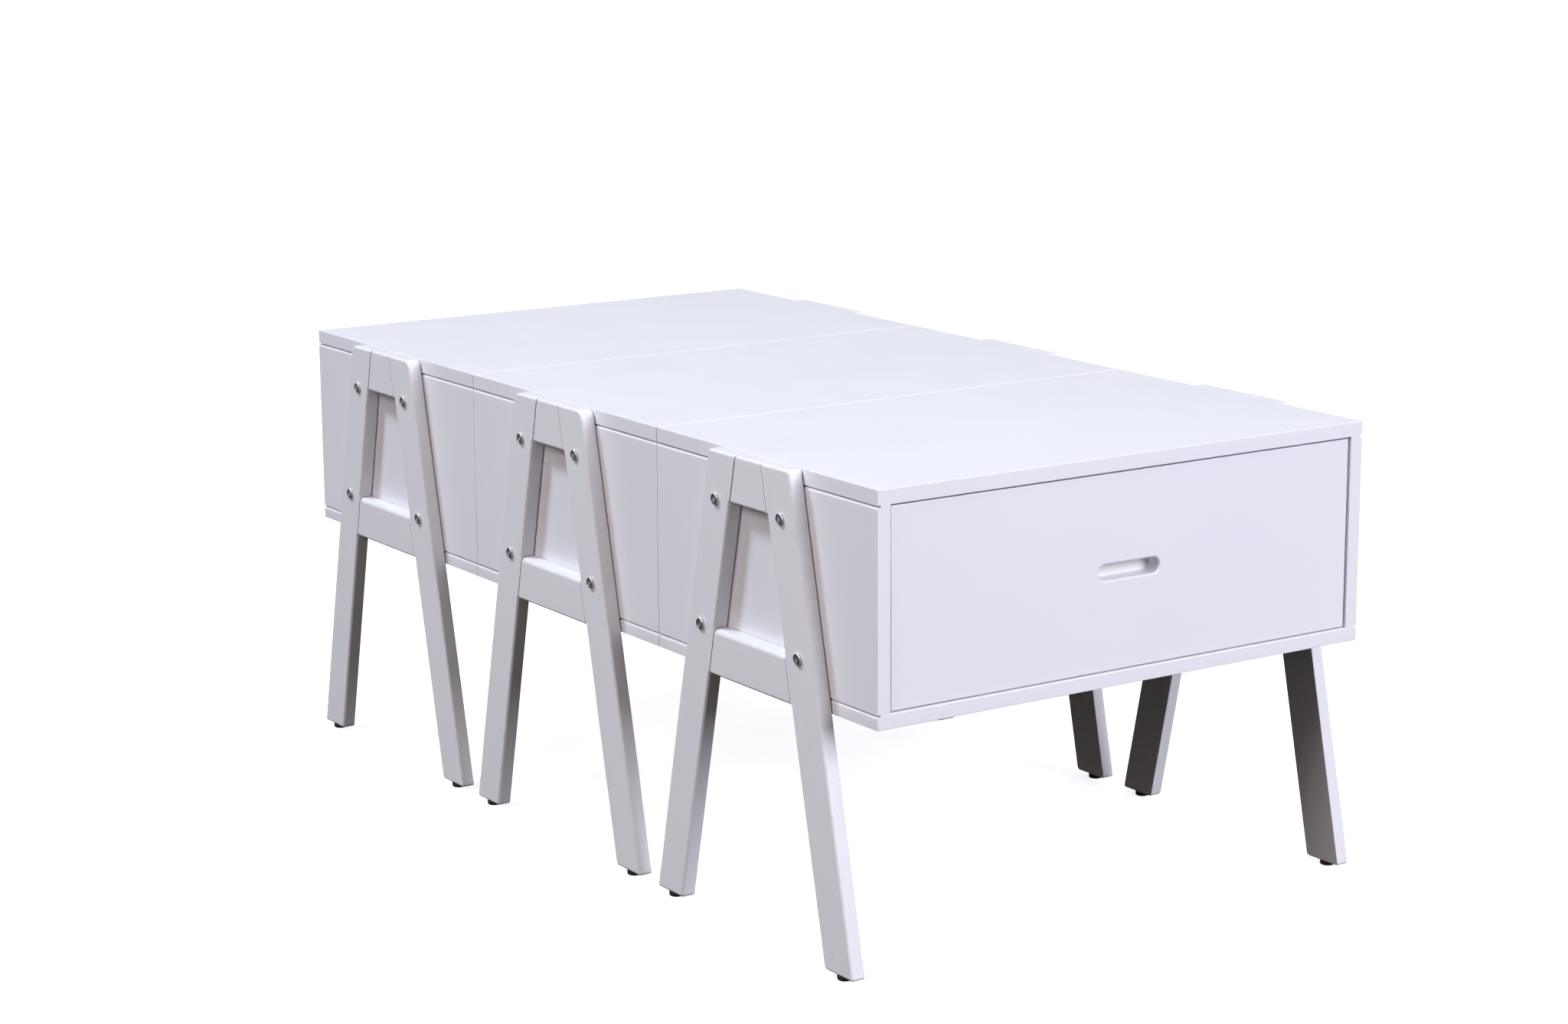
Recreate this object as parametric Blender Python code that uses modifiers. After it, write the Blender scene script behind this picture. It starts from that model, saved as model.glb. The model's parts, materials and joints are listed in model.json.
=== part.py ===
"""A row of three low drawer tables.

Each table is an oblong painted box that holds one inset drawer. The box hangs
between two A-frames, one bolted to each side, and stands on small round glides.
The three tables are alike and stand end to end, each with its drawer facing -Y.

Units are metres. X runs across the drawer fronts, +Z is up, and the origin is on
the floor under the middle of the row.
"""

import math

import bmesh
import bpy
from mathutils import Matrix, Vector

# ---------------------------------------------------------------- driving dimensions
TABLES = ("table1", "table2", "table3")  # from the free drawer front towards +Y
PITCH = 0.385  # length of the row that each table takes
SEAM = 0.001  # gap between neighbouring tables
WIDTH = 0.600  # box, across the drawer front
HEIGHT = 0.480  # floor to table top
BOX_HEIGHT = 0.228
PANEL = 0.015  # top, bottom and sides
BACK = 0.012  # back panel, let in between the others
BACK_INSET = 0.001
FIT = 0.0003  # gap between pieces that touch

# drawer
FRONT_THICKNESS = 0.018
FRONT_RECESS = 0.002
FRONT_GAP_SIDE = 0.002
FRONT_GAP_TOP = 0.002
FRONT_GAP_BOTTOM = 0.0012
DRAWER_BOARD = 0.012
DRAWER_LENGTH = 0.340  # behind the front
DRAWER_HEIGHT = 0.150
DRAWER_SIDE_CLEARANCE = 0.0035
DRAWER_RUN_CLEARANCE = 0.001  # under the drawer's sides
DRAWER_BOTTOM = 0.005
GROOVE_DEPTH = 0.005
GROOVE_HEIGHT = 0.008  # above the drawer's lower edge
SLOT_LENGTH = 0.0784  # finger pull, cut right through the front, without its chamfered rim
SLOT_HEIGHT = 0.0184
SLOT_END_ROUND = 0.0091  # just under half the slot's height

# A-frames
FRAME_BOARD = 0.016
FRAME_GAP = 0.0004  # between an A-frame and the box
FRAME_DROP = 0.0005  # an A-frame's top below the table top
LEG_WIDTH = 0.047
LEG_SPREAD_TOP = 0.0705  # leg's outer edge from the table's middle
LEG_SPREAD_FOOT = 0.175
RAIL_HEIGHT = 0.047
UPPER_RAIL_HEIGHT = 0.048
LOWER_RAIL_RISE = 0.001  # its lower edge above the box's underside
UPPER_BOLT_DROP = 0.0485  # below the box's top
LOWER_BOLT_RISE = 0.049  # above the box's underside
BOLT_HEAD_RADIUS = 0.0058
BOLT_HEAD_HEIGHT = 0.0028
BOLT_CHAMFER = 0.0007
BOLT_SIDES = 12

# feet
FOOT_RADIUS = 0.0075
FOOT_HEIGHT = 0.005
FOOT_CHAMFER = 0.001
FOOT_SIDES = 16

# edge roundings
LEG_ROUND = 0.003
END_ROUND = 0.0018
JOINT_ROUND = 0.0004
GROOVE_ROUND = 0.002
PANEL_ROUND = 0.0008
RAIL_ROUND = 0.004
SHARP_ANGLE = math.radians(50)  # edges that turn more than this are chamfered

# ---------------------------------------------------------------- worked-out sizes
DEPTH = PITCH - SEAM
BOX_LOW = HEIGHT - BOX_HEIGHT
CAVITY_LOW = BOX_LOW + PANEL
CAVITY_HIGH = HEIGHT - PANEL
CAVITY_HALF_WIDTH = WIDTH / 2 - PANEL
FRAME_TOP = HEIGHT - FRAME_DROP
RAKE = math.atan((LEG_SPREAD_FOOT - LEG_SPREAD_TOP) / (FRAME_TOP - FOOT_HEIGHT))
FRAME_INNER_X = WIDTH / 2 + FRAME_GAP
FRAME_OUTER_X = FRAME_INNER_X + FRAME_BOARD

SIDES = {"left": -1, "right": 1}
ENDS = {"front": -1, "rear": 1}


# ---------------------------------------------------------------- scene, paint
def clear_scene():
    for thing in list(bpy.data.objects):
        bpy.data.objects.remove(thing, do_unlink=True)


def new_collection(name):
    group = bpy.data.collections.new(name)
    bpy.context.scene.collection.children.link(group)
    return group


def new_material(name, colour, roughness):
    material = bpy.data.materials.new(name)
    material.use_nodes = True
    shader = material.node_tree.nodes["Principled BSDF"]
    shader.inputs["Base Color"].default_value = (*colour, 1.0)
    shader.inputs["Roughness"].default_value = roughness
    shader.inputs["Metallic"].default_value = 0.0
    return material


def move_to(thing, group):
    for old in list(thing.users_collection):
        old.objects.unlink(thing)
    group.objects.link(thing)


# ---------------------------------------------------------------- basic shapes
def box(name, low, high, group, material=None):
    """A cube primitive stretched over the space between two corners."""
    low, high = Vector(low), Vector(high)
    bpy.ops.mesh.primitive_cube_add(size=1.0)
    thing = bpy.context.active_object
    thing.name = name
    thing.data.name = name
    thing.data.transform(Matrix.Diagonal((*(high - low), 1.0)))
    thing.location = (low + high) / 2
    if material:
        thing.data.materials.append(material)
    move_to(thing, group)
    return thing


def round_edges(thing, radius_of, segments=2):
    """Bevel each edge by its own radius: radius_of gets the edge's two ends."""
    mesh = thing.data
    ends = [[mesh.vertices[v].co for v in edge.vertices] for edge in mesh.edges]
    radii = [radius_of(*pair) for pair in ends]
    widest = max(radii)
    weights = mesh.attributes.new("bevel_weight_edge", "FLOAT", "EDGE")
    for slot, radius in zip(weights.data, radii):
        slot.value = radius / widest
    bevel = thing.modifiers.new("rounding", "BEVEL")
    bevel.limit_method = "WEIGHT"
    bevel.width = widest
    bevel.segments = segments
    bevel.use_clamp_overlap = False


def chamfer(thing, width):
    """Cut a single flat along every sharp edge."""
    bevel = thing.modifiers.new("chamfer", "BEVEL")
    bevel.width = width
    bevel.segments = 1
    bevel.limit_method = "ANGLE"
    bevel.angle_limit = SHARP_ANGLE


def runs_along(axis, a, b):
    """True if the edge from a to b lies mainly along the axis, 0 to 2."""
    step = b - a
    return abs(step[axis]) > 0.7 * step.length


def cut(thing, cutter, name):
    cutter.hide_render = True
    cutter.display_type = "WIRE"
    boolean = thing.modifiers.new(name, "BOOLEAN")
    boolean.operation = "DIFFERENCE"
    boolean.object = cutter


# ---------------------------------------------------------------- box of a table
def build_box(table, y, parts, paint):
    y_front, y_back = y - DEPTH / 2, y + DEPTH / 2
    half = WIDTH / 2
    for name, low, high in (("top_panel", CAVITY_HIGH, HEIGHT), ("bottom_panel", BOX_LOW, CAVITY_LOW)):
        panel = box(f"{table}_{name}", (-half, y_front, low), (half, y_back, high), parts, paint)
        round_edges(panel, lambda a, b: PANEL_ROUND, 1)

    for side, sign in SIDES.items():
        inner, outer = sorted((sign * CAVITY_HALF_WIDTH, sign * half))
        low = (inner, y_front, CAVITY_LOW + FIT)
        high = (outer, y_back, CAVITY_HIGH - FIT)
        panel = box(f"{table}_side_panel_{side}", low, high, parts, paint)

        def side_radius(a, b, sign=sign):
            at_groove = runs_along(1, a, b) and a.x * sign > 0
            return GROOVE_ROUND if at_groove else JOINT_ROUND

        round_edges(panel, side_radius)

    reach = CAVITY_HALF_WIDTH - FIT
    low = (-reach, y_back - BACK_INSET - BACK, CAVITY_LOW + FIT)
    high = (reach, y_back - BACK_INSET, CAVITY_HIGH - FIT)
    back = box(f"{table}_back_panel", low, high, parts, paint)
    round_edges(back, lambda a, b: JOINT_ROUND, 1)


# ---------------------------------------------------------------- drawer
def build_drawer_front(table, y_face, parts, cutters, paint):
    half = CAVITY_HALF_WIDTH - FRONT_GAP_SIDE
    low = (-half, y_face, CAVITY_LOW + FRONT_GAP_BOTTOM)
    high = (half, y_face + FRONT_THICKNESS, CAVITY_HIGH - FRONT_GAP_TOP)
    front = box(f"{table}_drawer_front", low, high, parts, paint)

    # The finger pull is a slot with half-round ends in the middle of the front.
    middle = BOX_LOW + BOX_HEIGHT / 2
    low = (-SLOT_LENGTH / 2, y_face - FRONT_THICKNESS, middle - SLOT_HEIGHT / 2)
    high = (SLOT_LENGTH / 2, y_face + 2 * FRONT_THICKNESS, middle + SLOT_HEIGHT / 2)
    slot = box(f"{table}_finger_slot_cutter", low, high, cutters)
    round_edges(slot, lambda a, b: SLOT_END_ROUND if runs_along(1, a, b) else 0.0, 6)
    cut(front, slot, "finger_slot")
    chamfer(front, PANEL_ROUND)


def build_drawer_frame(table, y_face, parts, cutters, wood):
    """The four boards behind the front, glued up as one ring, and the bottom in its groove."""
    half = CAVITY_HALF_WIDTH - DRAWER_SIDE_CLEARANCE
    y_low = y_face + FRONT_THICKNESS + FIT
    y_high = y_low + DRAWER_LENGTH
    z_low = CAVITY_LOW + DRAWER_RUN_CLEARANCE
    z_high = z_low + DRAWER_HEIGHT
    frame = box(f"{table}_drawer_frame", (-half, y_low, z_low), (half, y_high, z_high), parts, wood)

    inner_half = half - DRAWER_BOARD
    well_low = (-inner_half, y_low + DRAWER_BOARD, z_low - DRAWER_BOARD)
    well_high = (inner_half, y_high - DRAWER_BOARD, z_high + DRAWER_BOARD)
    cut(frame, box(f"{table}_drawer_well_cutter", well_low, well_high, cutters), "well")

    groove_half = inner_half + GROOVE_DEPTH
    groove_floor = z_low + GROOVE_HEIGHT
    groove_roof = groove_floor + DRAWER_BOTTOM + 2 * FIT
    groove_low = Vector((-groove_half, well_low[1] - GROOVE_DEPTH, groove_floor))
    groove_high = Vector((groove_half, well_high[1] + GROOVE_DEPTH, groove_roof))
    cut(frame, box(f"{table}_drawer_groove_cutter", groove_low, groove_high, cutters), "groove")

    play = Vector((FIT, FIT, FIT))
    box(f"{table}_drawer_bottom", groove_low + play, groove_high - play, parts, wood)


# ---------------------------------------------------------------- A-frames
def leg_edges(z):
    """Distances of a leg's inner and outer edge from the table's middle at height z."""
    outer = LEG_SPREAD_TOP + (FRAME_TOP - z) * math.tan(RAKE)
    return outer - LEG_WIDTH / math.cos(RAKE), outer


def raked_board(name, x_range, z_range, edges_at, group, material):
    """A board whose two edges follow edges_at(z), with its ends cut level."""
    low = (x_range[0], 0, z_range[0])
    high = (x_range[1], 1, z_range[1])
    board = box(name, low, high, group, material)
    middle = board.location.copy()
    for vertex in board.data.vertices:
        edges = edges_at(middle.z + vertex.co.z)
        y = edges[0] if vertex.co.y < 0 else edges[1]
        vertex.co.y = y - middle.y
    return board


def add_bolt_head(leg, x_face, sign, y, z, cutters):
    """Join a bolt head to the leg's outer face: a short stub with a chamfered rim."""
    sunk = BOLT_HEAD_HEIGHT / 2
    bpy.ops.mesh.primitive_cylinder_add(
        vertices=BOLT_SIDES,
        radius=BOLT_HEAD_RADIUS,
        depth=BOLT_HEAD_HEIGHT + sunk,
        location=(x_face + sign * (BOLT_HEAD_HEIGHT - sunk) / 2, y, z),
        rotation=(0, math.pi / 2, 0),
    )
    head = bpy.context.active_object
    head.name = f"{leg.name}_bolt_head"
    move_to(head, cutters)
    chamfer(head, BOLT_CHAMFER)
    head.hide_render = True
    head.display_type = "WIRE"
    union = leg.modifiers.new("bolt_head", "BOOLEAN")
    union.operation = "UNION"
    union.object = head


def build_leg(table, y, side, end, parts, cutters, paint):
    sign, way = SIDES[side], ENDS[end]

    def edges_at(z):
        return sorted(y + way * edge for edge in leg_edges(z))

    x_range = sorted((sign * FRAME_INNER_X, sign * FRAME_OUTER_X))
    name = f"{table}_leg_{side}_{end}"
    leg = raked_board(name, x_range, (FOOT_HEIGHT, FRAME_TOP), edges_at, parts, paint)
    round_edges(leg, lambda a, b: LEG_ROUND if runs_along(2, a, b) else END_ROUND)
    for z in (HEIGHT - UPPER_BOLT_DROP, BOX_LOW + LOWER_BOLT_RISE):
        add_bolt_head(leg, sign * FRAME_OUTER_X, sign, sum(edges_at(z)) / 2, z, cutters)


def build_rail(table, y, side, place, z_range, parts, paint):
    sign = SIDES[side]
    play = FIT / math.cos(RAKE)

    def edges_at(z):
        reach = leg_edges(z)[0] - play
        return y - reach, y + reach

    x_range = sorted((sign * FRAME_INNER_X, sign * FRAME_OUTER_X))
    rail = raked_board(f"{table}_{place}_rail_{side}", x_range, z_range, edges_at, parts, paint)

    def rail_radius(a, b):
        return RAIL_ROUND if runs_along(1, a, b) else JOINT_ROUND

    round_edges(rail, rail_radius)


def build_foot(table, y, side, end, parts, plastic):
    inner, outer = leg_edges(FOOT_HEIGHT)
    height = FOOT_HEIGHT - FIT
    bpy.ops.mesh.primitive_cylinder_add(
        vertices=FOOT_SIDES,
        radius=FOOT_RADIUS,
        depth=height,
        location=(
            SIDES[side] * (FRAME_INNER_X + FRAME_OUTER_X) / 2,
            y + ENDS[end] * (inner + outer) / 2,
            height / 2,
        ),
    )
    foot = bpy.context.active_object
    foot.name = f"{table}_foot_{side}_{end}"
    foot.data.name = foot.name
    foot.data.materials.append(plastic)
    foot.data.shade_smooth()
    foot.data.set_sharp_from_angle(angle=SHARP_ANGLE)
    move_to(foot, parts)
    chamfer(foot, FOOT_CHAMFER)


def build_a_frame(table, y, side, parts, cutters, paint, plastic):
    for end in ENDS:
        build_leg(table, y, side, end, parts, cutters, paint)
        build_foot(table, y, side, end, parts, plastic)
    lower_low = BOX_LOW + LOWER_RAIL_RISE
    lower = (lower_low, lower_low + RAIL_HEIGHT)
    upper = (FRAME_TOP - UPPER_RAIL_HEIGHT, FRAME_TOP)
    build_rail(table, y, side, "upper", upper, parts, paint)
    build_rail(table, y, side, "lower", lower, parts, paint)


# ---------------------------------------------------------------- the row
def build_row():
    clear_scene()
    parts = new_collection("drawer_tables")
    cutters = new_collection("cutters")
    box_paint = new_material("white_lacquer", (0.82, 0.82, 0.86), 0.35)
    frame_paint = new_material("white_frame_paint", (0.78, 0.78, 0.80), 0.42)
    drawer_wood = new_material("drawer_board", (0.74, 0.73, 0.72), 0.50)
    glide_plastic = new_material("foot_glide", (0.05, 0.05, 0.055), 0.45)

    for index, table in enumerate(TABLES):
        y = (index - (len(TABLES) - 1) / 2) * PITCH
        y_face = y - DEPTH / 2 + FRONT_RECESS
        build_box(table, y, parts, box_paint)
        build_drawer_front(table, y_face, parts, cutters, box_paint)
        build_drawer_frame(table, y_face, parts, cutters, drawer_wood)
        for side in SIDES:
            build_a_frame(table, y, side, parts, cutters, frame_paint, glide_plastic)


build_row()
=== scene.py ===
# %% [markdown]
# # Three white drawer tables in a row
#
# Three low tables stand end to end. Each is a lacquered box with one inset drawer,
# hung between two A-frames with a pair of bolts through every leg. The plain parts,
# their sizes and their joints were made earlier and come in here as a fixed frame.
# This lesson puts finely shaped pieces in their places, gives every surface its
# finish, and then sets up the floor, the light and the camera.

# %% Load the frame
import json
import math

import bmesh
import bpy
from mathutils import Matrix, Vector

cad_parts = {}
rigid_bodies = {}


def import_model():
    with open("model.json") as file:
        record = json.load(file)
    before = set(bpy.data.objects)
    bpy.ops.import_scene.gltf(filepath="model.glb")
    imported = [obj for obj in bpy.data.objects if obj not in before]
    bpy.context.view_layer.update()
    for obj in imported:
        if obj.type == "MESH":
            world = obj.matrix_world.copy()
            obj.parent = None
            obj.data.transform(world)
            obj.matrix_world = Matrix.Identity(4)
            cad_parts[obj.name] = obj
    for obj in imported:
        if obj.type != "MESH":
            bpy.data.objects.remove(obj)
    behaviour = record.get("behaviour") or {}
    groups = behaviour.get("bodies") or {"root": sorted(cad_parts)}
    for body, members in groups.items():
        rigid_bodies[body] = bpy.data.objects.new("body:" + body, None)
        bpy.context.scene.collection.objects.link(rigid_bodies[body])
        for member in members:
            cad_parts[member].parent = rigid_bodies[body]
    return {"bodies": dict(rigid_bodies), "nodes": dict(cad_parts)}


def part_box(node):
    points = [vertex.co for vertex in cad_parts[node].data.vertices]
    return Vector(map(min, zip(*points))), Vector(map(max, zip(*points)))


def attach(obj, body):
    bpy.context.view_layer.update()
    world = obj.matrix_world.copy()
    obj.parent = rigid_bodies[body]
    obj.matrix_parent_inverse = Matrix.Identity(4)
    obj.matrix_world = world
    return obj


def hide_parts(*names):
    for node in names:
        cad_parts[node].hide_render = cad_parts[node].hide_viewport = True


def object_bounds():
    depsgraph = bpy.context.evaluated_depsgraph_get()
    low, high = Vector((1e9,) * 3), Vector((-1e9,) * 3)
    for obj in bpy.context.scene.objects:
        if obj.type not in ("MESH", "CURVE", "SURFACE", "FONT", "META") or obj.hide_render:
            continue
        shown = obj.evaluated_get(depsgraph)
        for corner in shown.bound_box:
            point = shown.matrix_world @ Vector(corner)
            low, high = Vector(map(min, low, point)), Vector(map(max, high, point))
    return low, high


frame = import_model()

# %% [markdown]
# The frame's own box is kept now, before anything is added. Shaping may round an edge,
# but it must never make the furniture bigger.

frame_low, frame_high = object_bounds()
bpy.ops.object.select_all(action="DESELECT")
print("frame size in metres:", [round(side, 4) for side in frame_high - frame_low])

# %% [markdown]
# The bodies of the frame are named after the tables, so the list of tables is read
# from them. The first table's drawer front is the free one, and the others follow it
# in even steps.

# %% Tables and their places
TABLES = sorted({name.split("_")[0] for name in frame["bodies"]})
SIDES = {"left": -1, "right": 1}
ENDS = {"front": -1, "rear": 1}


def middle_of(node):
    """The middle of a frame node's box."""
    low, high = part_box(node)
    return (low + high) / 2


def step_to(table):
    """The way from the first table to this one."""
    return middle_of(f"{table}_top_panel") - middle_of(f"{TABLES[0]}_top_panel")


for table in TABLES:
    print(table, "stands at y =", round(middle_of(f"{table}_top_panel").y, 4))

# %% [markdown]
# Every piece is shaped the way it would be by hand: add a simple solid, go into edit
# mode, choose some edges or faces, and work on them. By hand they are chosen with the
# mouse. Here a small test picks them by where they are or which way they run, which
# gives the same choice every time.

# %% Choosing objects, faces and edges
X, Y, Z = range(3)  # the axes, as places in a vector
NEAR = 1e-5  # two places closer than this are the same
MOSTLY = 0.7  # an edge runs along an axis if this much of its length does
FACING = 0.9  # how far a face's normal must point along an axis to count
STRAIGHT_ON = 0.99  # the same, where the rounding beside the face must not count
CORNER = 1.0  # radians; an edge that turns more than this is a corner


def choose(*pieces):
    """Selects these objects and no others, and makes the first one active."""
    bpy.ops.object.select_all(action="DESELECT")
    for piece in pieces:
        piece.select_set(True)
    bpy.context.view_layer.objects.active = pieces[0]


def pick(kind, test):
    """In edit mode, selects each EDGE or FACE that passes the test."""
    bpy.ops.mesh.select_mode(type=kind)
    bpy.ops.mesh.select_all(action="DESELECT")
    mesh = bpy.context.object.data
    shape = bmesh.from_edit_mesh(mesh)
    shape.normal_update()
    for part in {"EDGE": shape.edges, "FACE": shape.faces}[kind]:
        if test(part):
            part.select_set(True)
    shape.select_flush_mode()
    bmesh.update_edit_mesh(mesh)


def edge_middle(edge):
    return (edge.verts[0].co + edge.verts[1].co) / 2


def runs_along(edge, axis):
    """True if an edge lies mainly along an axis."""
    step = edge.verts[1].co - edge.verts[0].co
    return abs(step[axis]) > MOSTLY * step.length


def at(edge, axis, place):
    """True if both ends of an edge lie at one place on an axis."""
    return all(abs(vertex.co[axis] - place) < NEAR for vertex in edge.verts)


def is_corner(edge):
    """True if the surface turns sharply at an edge."""
    return edge.calc_face_angle(0) > CORNER


# %% [markdown]
# A board starts as a cube of the board's own size. Applying its place and scale
# straight away puts them into the mesh, so that the numbers in edit mode are the same
# as on the finished furniture. Rounding an edge is one bevel, with enough steps to
# look round from close by.

# %% Starting a board and rounding its edges
def start_board(name, low, high):
    """Adds a cube between two corners and opens it in edit mode."""
    bpy.ops.object.select_all(action="DESELECT")
    middle, size = (low + high) / 2, high - low
    bpy.ops.mesh.primitive_cube_add(size=1, location=middle, scale=size)
    bpy.ops.object.transform_apply(location=True, rotation=True, scale=True)
    board = bpy.context.object
    board.name = board.data.name = name
    bpy.ops.object.mode_set(mode="EDIT")
    return board


def round_edges(radius, test, steps=4):
    """Bevels the edges that pass the test."""
    pick("EDGE", test)
    bpy.ops.mesh.bevel(offset=radius, segments=steps, affect="EDGES")


def close_board():
    """Merges any points that ended up in the same place, and leaves edit mode."""
    bpy.ops.mesh.select_all(action="SELECT")
    bpy.ops.mesh.remove_doubles(threshold=NEAR)
    bpy.ops.object.mode_set(mode="OBJECT")


# %% [markdown]
# What repeats is shaped once and copied. A copy for the next table is shifted, and a
# copy for the other side is mirrored. A mirror turns a solid inside out, so its faces
# are pointed outwards again. Each copy gets a mesh of its own.

# %% Copies, shifted or mirrored
def duplicate_as(piece, name):
    choose(piece)
    bpy.ops.object.duplicate(linked=False)
    twin = bpy.context.object
    twin.name = twin.data.name = name
    return twin


def shifted_copy(piece, name, step):
    twin = duplicate_as(piece, name)
    bpy.ops.transform.translate(value=step)
    bpy.ops.object.transform_apply(location=True, rotation=True, scale=True)
    return twin


def mirrored_copy(piece, name, axis, plane):
    """A copy on the far side of the plane that crosses the axis at this place."""
    twin = duplicate_as(piece, name)
    flip, centre = Vector((1, 1, 1)), Vector()
    flip[axis], centre[axis] = -1, plane
    bpy.ops.transform.resize(value=flip, center_override=centre)
    bpy.ops.object.transform_apply(location=True, rotation=True, scale=True)
    bpy.ops.object.mode_set(mode="EDIT")
    bpy.ops.mesh.select_all(action="SELECT")
    bpy.ops.mesh.normals_make_consistent(inside=False)
    bpy.ops.object.mode_set(mode="OBJECT")
    return twin


# %% [markdown]
# Lacquer is thinnest and most handled on the rounded edges, so the finishes need to
# know where those are. A rounding is made of narrow strips, and a flat is wide. Each
# point that touches only narrow faces is marked 1 and every other point 0, and the
# finishes read that mark and let the wear fade out towards the flats. The plated steel
# reads the same mark for a painted highlight on the rim of every head.

# %% Marking the rounded edges
STRIP = 0.003  # a face narrower than this belongs to a rounding


def mark_edges(piece):
    """Stores edge_wear_and_highlight on the points: 1 on a rounding, 0 where a flat begins."""
    mesh = piece.data
    worn = [1.0] * len(mesh.vertices)
    for face in mesh.polygons:
        corners = [mesh.vertices[v].co for v in face.vertices]
        around = sum((a - b).length for a, b in zip(corners, corners[1:] + corners[:1]))
        if 2 * face.area / around > STRIP:
            for v in face.vertices:
                worn[v] = 0.0
    mark = mesh.attributes.new("edge_wear_and_highlight", "FLOAT", "POINT")
    mark.data.foreach_set("value", worn)


# %% [markdown]
# Smooth shading alone would make the big flats look swollen, because it blends their
# light into the roundings. A Weighted Normal modifier lets the large faces win, so
# flats stay flat and only the roundings turn. Where a rounding stops short it runs out
# in a fan of tiny triangles, and through that fan two flats could still blend into each
# other, so the edges between such a triangle and a flat are made sharp. Then the piece
# gets its finish, stands in for its plain node in the frame, and rides on its body.

# %% Finishing a piece
SMOOTH_BELOW = math.radians(35)
FLATS_WIN = 100  # Weighted Normal's weight, where 50 is even-handed
TINY_AREA = 1e-5  # square metres
FLAT_AREA = 1e-4


def sharpen_stops():
    """Makes the active piece's edges sharp where a stopped rounding's triangles meet a flat."""

    def at_stop(edge):
        tiny, large = sorted(edge.link_faces, key=lambda f: f.calc_area())
        in_fan = len(tiny.verts) == 3 and tiny.calc_area() < TINY_AREA
        return in_fan and large.calc_area() > FLAT_AREA

    bpy.ops.object.mode_set(mode="EDIT")
    pick("EDGE", at_stop)
    bpy.ops.mesh.mark_sharp()
    bpy.ops.object.mode_set(mode="OBJECT")


def finish_piece(piece, body, finish, nodes=()):
    """Shades a piece, gives it its finish and hangs it on its body in the frame."""
    choose(piece)
    bpy.ops.object.shade_smooth_by_angle(angle=SMOOTH_BELOW)
    sharpen_stops()
    mark_edges(piece)
    even = piece.modifiers.new("even_shading", "WEIGHTED_NORMAL")
    even.weight = FLATS_WIN
    even.keep_sharp = True
    bpy.ops.object.modifier_apply(modifier=even.name)
    piece.data.materials.clear()
    piece.data.materials.append(finish)
    if nodes:
        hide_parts(*nodes)
    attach(piece, body)


# %% [markdown]
# ## Finishes
#
# A node material is a small machine: coordinates go in, patterns come out, and the
# patterns drive colour, roughness and bump. Object coordinates are used throughout.
# Every piece sits at the origin with its place in its mesh, so one pattern runs
# across the whole furniture and no two boards look the same.

# %% Building with nodes
MIX_SHARE, MIX_A, MIX_B, MIX_RESULT = 0, 6, 7, 2  # where a colour mix has its sockets


class Recipe:
    """A new material, with short ways to add its nodes and join them up."""

    def __init__(self, name, roughness=0.5, metallic=0.0):
        self.material = bpy.data.materials.new(name)
        self.material.use_nodes = True
        self.tree = self.material.node_tree
        self.shader = self.tree.nodes["Principled BSDF"]
        self.shader.inputs["Roughness"].default_value = roughness
        self.shader.inputs["Metallic"].default_value = metallic
        self.object_space = self.node("ShaderNodeTexCoord").outputs["Object"]

    def node(self, kind, links=None, **settings):
        """Adds a node. Links are {input: socket or plain value}."""
        made = self.tree.nodes.new(kind)
        for setting, value in settings.items():
            setattr(made, setting, value)
        for place, value in (links or {}).items():
            if isinstance(value, bpy.types.NodeSocket):
                self.tree.links.new(value, made.inputs[place])
            else:
                made.inputs[place].default_value = value
        return made

    def noise(self, scale, detail=2.0, where=None, roughness=0.5):
        """Soft random patches, about 1/scale metres across."""
        links = {
            "Vector": where or self.object_space,
            "Scale": scale,
            "Detail": detail,
            "Roughness": roughness,
        }
        return self.node("ShaderNodeTexNoise", links).outputs["Fac"]

    def grain(self, turn, across, along, detail, roughness):
        """Grain that runs along Y, or another way if turned, with its lines to the metre."""
        turned = self.node("ShaderNodeMapping", {"Vector": self.object_space, "Rotation": turn})
        squeeze = {"Vector": turned.outputs[0], "Scale": (across, along, across)}
        stretched = self.node("ShaderNodeMapping", squeeze)
        return self.noise(1.0, detail=detail, where=stretched.outputs[0], roughness=roughness)

    def edge_wear_and_highlight(self):
        """The mark on the points: 1 on the rounded edges and 0 on the flats."""
        return self.node("ShaderNodeAttribute", attribute_name="edge_wear_and_highlight").outputs["Fac"]

    def remap(self, value, low, high, new_low=0.0, new_high=1.0):
        """Stretches the values between low and high over a new range."""
        links = {"Value": value, "From Min": low, "From Max": high, "To Min": new_low, "To Max": new_high}
        return self.node("ShaderNodeMapRange", links).outputs["Result"]

    def maths(self, operation, a, b):
        return self.node("ShaderNodeMath", {0: a, 1: b}, operation=operation).outputs["Value"]

    def blend(self, share, a, b):
        """A colour between a and b. Colours are given as (r, g, b)."""
        mix = self.node("ShaderNodeMix", data_type="RGBA")
        for place, value in ((MIX_SHARE, share), (MIX_A, a), (MIX_B, b)):
            if isinstance(value, bpy.types.NodeSocket):
                self.tree.links.new(value, mix.inputs[place])
            else:
                mix.inputs[place].default_value = (*value, 1.0)
        return mix.outputs[MIX_RESULT]

    def bump(self, height, depth, under=None):
        """Raises the surface by height times depth metres, over another bump."""
        links = {"Height": height, "Distance": depth}
        if under:
            links["Normal"] = under
        return self.node("ShaderNodeBump", links).outputs["Normal"]

    def connect(self, socket, place):
        self.tree.links.new(socket, self.shader.inputs[place])


# %% [markdown]
# The white is a satin two-pack lacquer, sprayed and rubbed down. From far away it is
# one even white with a hint of blue. From close by it has the finest orange-peel
# ripple, a slow drift in tone and gloss from one spray pass to the next, and edges
# that hands have polished and rubbed a little thin. On the solid wood of the A-frames
# the grain still telegraphs through, very faintly, along each board, which is why the
# frame finish can be told which way its board runs.

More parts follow.
